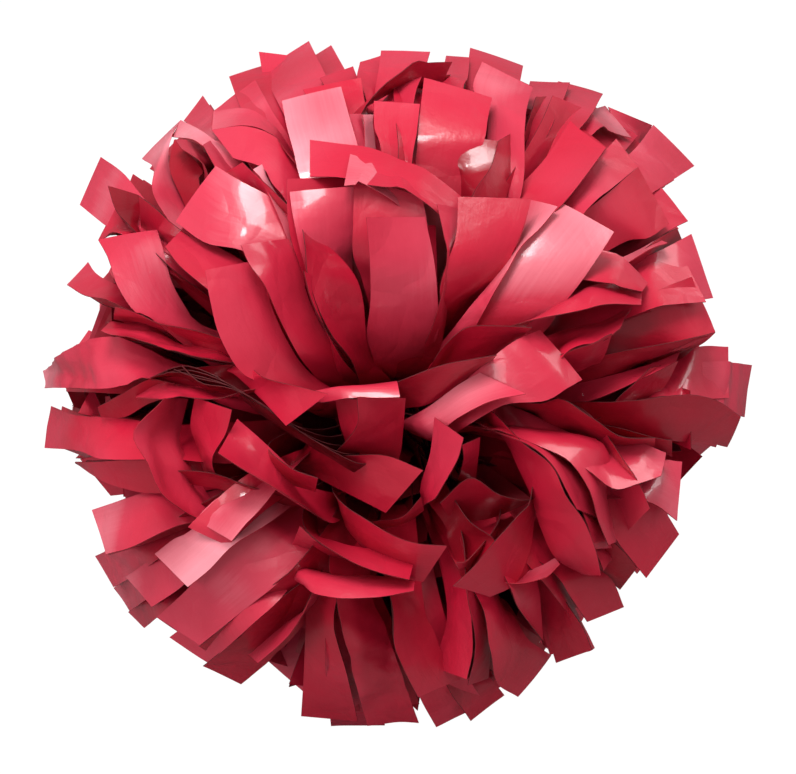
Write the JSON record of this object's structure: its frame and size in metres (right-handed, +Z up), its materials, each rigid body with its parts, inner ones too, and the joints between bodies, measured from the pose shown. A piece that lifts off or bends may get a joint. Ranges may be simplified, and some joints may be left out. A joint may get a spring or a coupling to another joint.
{
  "type": "cheer pom pom",
  "caption": "Fluffed ball of wide glossy film streamers, gathered and tied at each end of a hidden baton grip.",
  "frame": {"origin": "middle of the hand grip, which is the middle of the ball", "axes": "+Z up, Y along the baton with the front head at -Y and the rear head at +Y, X across"},
  "size_m": [0.244, 0.2594, 0.236],
  "materials": {
    "film": "thin glossy film, slightly see-through, deep red",
    "grip": "moulded, fine matt texture",
    "tie": "nylon, satin",
    "pin": "bright drawn wire"
  },
  "bodies": {
    "handle": {"grip_tube": "grip", "front_end_plug": "grip", "front_plug_pin": "pin", "front_film_spine": "film", "front_cable_tie": "tie", "rear_end_plug": "grip", "rear_plug_pin": "pin", "rear_film_spine": "film", "rear_cable_tie": "tie"},
    "front_crown_1": {"front_crown_fringe_1": "film"},
    "front_crown_2": {"front_crown_fringe_2": "film"},
    "front_crown_3": {"front_crown_fringe_3": "film"},
    "front_crown_4": {"front_crown_fringe_4": "film"},
    "front_side_1": {"front_side_fringe_1": "film"},
    "front_side_2": {"front_side_fringe_2": "film"},
    "front_side_3": {"front_side_fringe_3": "film"},
    "front_side_4": {"front_side_fringe_4": "film"},
    "front_side_5": {"front_side_fringe_5": "film"},
    "front_side_6": {"front_side_fringe_6": "film"},
    "front_side_7": {"front_side_fringe_7": "film"},
    "front_side_8": {"front_side_fringe_8": "film"},
    "rear_crown_1": {"rear_crown_fringe_1": "film"},
    "rear_crown_2": {"rear_crown_fringe_2": "film"},
    "rear_crown_3": {"rear_crown_fringe_3": "film"},
    "rear_crown_4": {"rear_crown_fringe_4": "film"},
    "rear_side_1": {"rear_side_fringe_1": "film"},
    "rear_side_2": {"rear_side_fringe_2": "film"},
    "rear_side_3": {"rear_side_fringe_3": "film"},
    "rear_side_4": {"rear_side_fringe_4": "film"},
    "rear_side_5": {"rear_side_fringe_5": "film"},
    "rear_side_6": {"rear_side_fringe_6": "film"},
    "rear_side_7": {"rear_side_fringe_7": "film"},
    "rear_side_8": {"rear_side_fringe_8": "film"}
  },
  "joints": [
    {"name": "front_crown_1_flex", "type": "hinge", "parent": "handle", "child": "front_crown_1", "pos_m": [0.0122, -0.0609, 0], "axis": [0, 0, 1], "range_deg": [-5, 6], "stiffness_Nm_per_rad": 0.5},
    {"name": "front_crown_2_flex", "type": "hinge", "parent": "handle", "child": "front_crown_2", "pos_m": [0, -0.0609, 0.0122], "axis": [-1, 0, 0], "range_deg": [-5, 6], "stiffness_Nm_per_rad": 0.5},
    {"name": "front_crown_3_flex", "type": "hinge", "parent": "handle", "child": "front_crown_3", "pos_m": [-0.0122, -0.0609, 0], "axis": [0, 0, -1], "range_deg": [-5, 6], "stiffness_Nm_per_rad": 0.5},
    {"name": "front_crown_4_flex", "type": "hinge", "parent": "handle", "child": "front_crown_4", "pos_m": [0, -0.0609, -0.0122], "axis": [1, 0, 0], "range_deg": [-5, 6], "stiffness_Nm_per_rad": 0.5},
    {"name": "front_side_1_flex", "type": "hinge", "parent": "handle", "child": "front_side_1", "pos_m": [0.0149, -0.0488, 0], "axis": [0, 0, 1], "range_deg": [-8, 8], "stiffness_Nm_per_rad": 0.5},
    {"name": "front_side_2_flex", "type": "hinge", "parent": "handle", "child": "front_side_2", "pos_m": [0.01054, -0.0488, 0.01054], "axis": [-0.7071, 0, 0.7071], "range_deg": [-8, 8], "stiffness_Nm_per_rad": 0.5},
    {"name": "front_side_3_flex", "type": "hinge", "parent": "handle", "child": "front_side_3", "pos_m": [0, -0.0488, 0.0149], "axis": [-1, 0, 0], "range_deg": [-8, 8], "stiffness_Nm_per_rad": 0.5},
    {"name": "front_side_4_flex", "type": "hinge", "parent": "handle", "child": "front_side_4", "pos_m": [-0.01054, -0.0488, 0.01054], "axis": [-0.7071, 0, -0.7071], "range_deg": [-8, 8], "stiffness_Nm_per_rad": 0.5},
    {"name": "front_side_5_flex", "type": "hinge", "parent": "handle", "child": "front_side_5", "pos_m": [-0.0149, -0.0488, 0], "axis": [0, 0, -1], "range_deg": [-8, 8], "stiffness_Nm_per_rad": 0.5},
    {"name": "front_side_6_flex", "type": "hinge", "parent": "handle", "child": "front_side_6", "pos_m": [-0.01054, -0.0488, -0.01054], "axis": [0.7071, 0, -0.7071], "range_deg": [-8, 8], "stiffness_Nm_per_rad": 0.5},
    {"name": "front_side_7_flex", "type": "hinge", "parent": "handle", "child": "front_side_7", "pos_m": [0, -0.0488, -0.0149], "axis": [1, 0, 0], "range_deg": [-8, 8], "stiffness_Nm_per_rad": 0.5},
    {"name": "front_side_8_flex", "type": "hinge", "parent": "handle", "child": "front_side_8", "pos_m": [0.01054, -0.0488, -0.01054], "axis": [0.7071, 0, 0.7071], "range_deg": [-8, 8], "stiffness_Nm_per_rad": 0.5},
    {"name": "rear_crown_1_flex", "type": "hinge", "parent": "handle", "child": "rear_crown_1", "pos_m": [0.0122, 0.0609, 0], "axis": [0, 0, -1], "range_deg": [-5, 6], "stiffness_Nm_per_rad": 0.5},
    {"name": "rear_crown_2_flex", "type": "hinge", "parent": "handle", "child": "rear_crown_2", "pos_m": [0, 0.0609, 0.0122], "axis": [1, 0, 0], "range_deg": [-5, 6], "stiffness_Nm_per_rad": 0.5},
    {"name": "rear_crown_3_flex", "type": "hinge", "parent": "handle", "child": "rear_crown_3", "pos_m": [-0.0122, 0.0609, 0], "axis": [0, 0, 1], "range_deg": [-5, 6], "stiffness_Nm_per_rad": 0.5},
    {"name": "rear_crown_4_flex", "type": "hinge", "parent": "handle", "child": "rear_crown_4", "pos_m": [0, 0.0609, -0.0122], "axis": [-1, 0, 0], "range_deg": [-5, 6], "stiffness_Nm_per_rad": 0.5},
    {"name": "rear_side_1_flex", "type": "hinge", "parent": "handle", "child": "rear_side_1", "pos_m": [0.0149, 0.0488, 0], "axis": [0, 0, -1], "range_deg": [-8, 8], "stiffness_Nm_per_rad": 0.5},
    {"name": "rear_side_2_flex", "type": "hinge", "parent": "handle", "child": "rear_side_2", "pos_m": [0.01054, 0.0488, 0.01054], "axis": [0.7071, 0, -0.7071], "range_deg": [-8, 8], "stiffness_Nm_per_rad": 0.5},
    {"name": "rear_side_3_flex", "type": "hinge", "parent": "handle", "child": "rear_side_3", "pos_m": [0, 0.0488, 0.0149], "axis": [1, 0, 0], "range_deg": [-8, 8], "stiffness_Nm_per_rad": 0.5},
    {"name": "rear_side_4_flex", "type": "hinge", "parent": "handle", "child": "rear_side_4", "pos_m": [-0.01054, 0.0488, 0.01054], "axis": [0.7071, 0, 0.7071], "range_deg": [-8, 8], "stiffness_Nm_per_rad": 0.5},
    {"name": "rear_side_5_flex", "type": "hinge", "parent": "handle", "child": "rear_side_5", "pos_m": [-0.0149, 0.0488, 0], "axis": [0, 0, 1], "range_deg": [-8, 8], "stiffness_Nm_per_rad": 0.5},
    {"name": "rear_side_6_flex", "type": "hinge", "parent": "handle", "child": "rear_side_6", "pos_m": [-0.01054, 0.0488, -0.01054], "axis": [-0.7071, 0, 0.7071], "range_deg": [-8, 8], "stiffness_Nm_per_rad": 0.5},
    {"name": "rear_side_7_flex", "type": "hinge", "parent": "handle", "child": "rear_side_7", "pos_m": [0, 0.0488, -0.0149], "axis": [-1, 0, 0], "range_deg": [-8, 8], "stiffness_Nm_per_rad": 0.5},
    {"name": "rear_side_8_flex", "type": "hinge", "parent": "handle", "child": "rear_side_8", "pos_m": [0.01054, 0.0488, -0.01054], "axis": [-0.7071, 0, -0.7071], "range_deg": [-8, 8], "stiffness_Nm_per_rad": 0.5}
  ]
}
